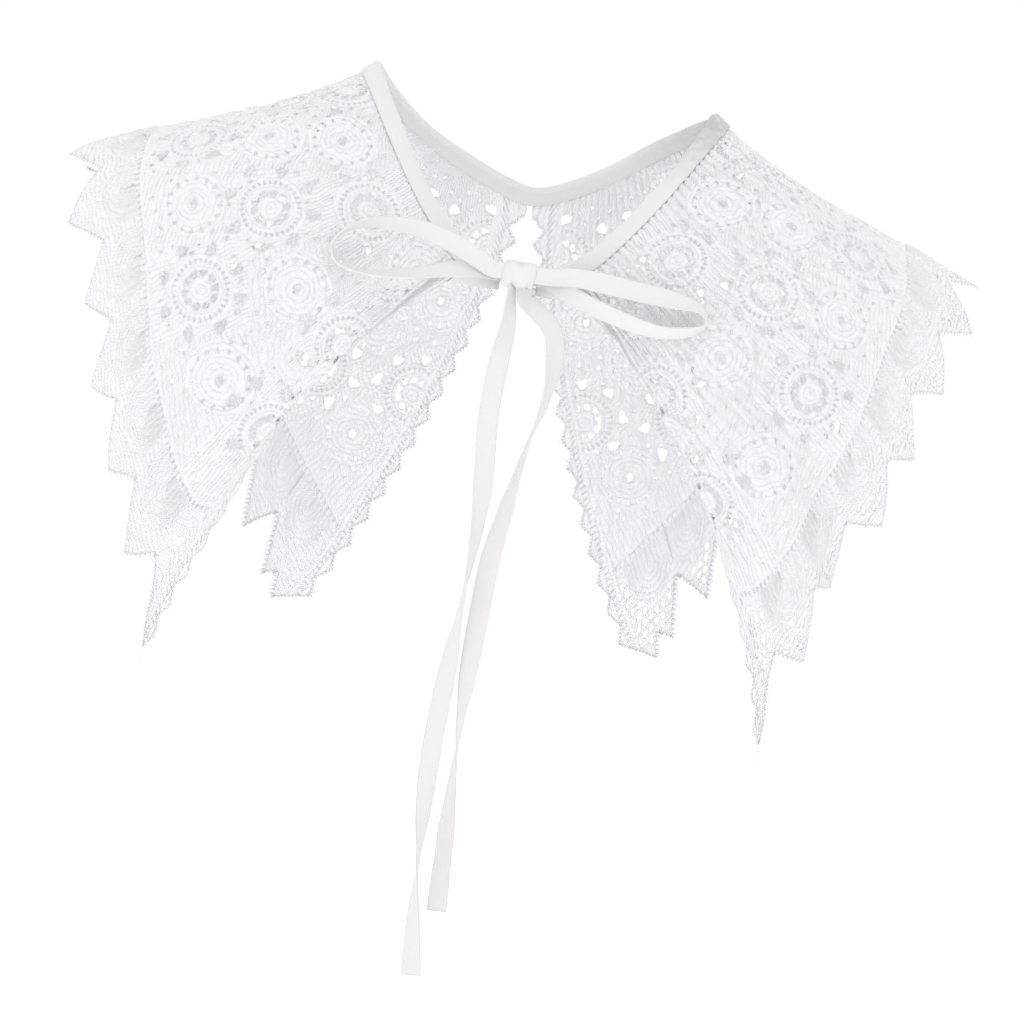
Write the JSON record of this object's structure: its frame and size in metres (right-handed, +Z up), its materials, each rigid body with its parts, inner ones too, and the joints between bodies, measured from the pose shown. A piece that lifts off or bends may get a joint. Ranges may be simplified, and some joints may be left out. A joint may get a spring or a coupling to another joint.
{
  "type": "lace cape collar",
  "caption": "Detachable crochet lace cape collar in two pointed halves with toothed hems, bound at the neck with a cotton tape that ties in a front bow, kept in its hollow worn form.",
  "frame": {"origin": "midway between the two highest points of the neckline, where the collar sits on the neck of whoever wears it", "axes": "+X across the collar to the right as seen from its front, +Y from the front to the back, +Z up"},
  "size_m": [0.4746, 0.2213, 0.4525],
  "materials": {
    "lace": "matt white cotton crochet lace",
    "tape": "white woven cotton tape with a faint sheen"
  },
  "bodies": {
    "root": {"lace_left_front": "lace", "lace_left_back": "lace", "lace_right_front": "lace", "lace_right_back": "lace", "neck_binding": "tape", "bow_knot": "tape", "bow_loop_left": "tape", "bow_loop_right": "tape", "tie_left": "tape", "tie_right": "tape"}
  },
  "joints": []
}
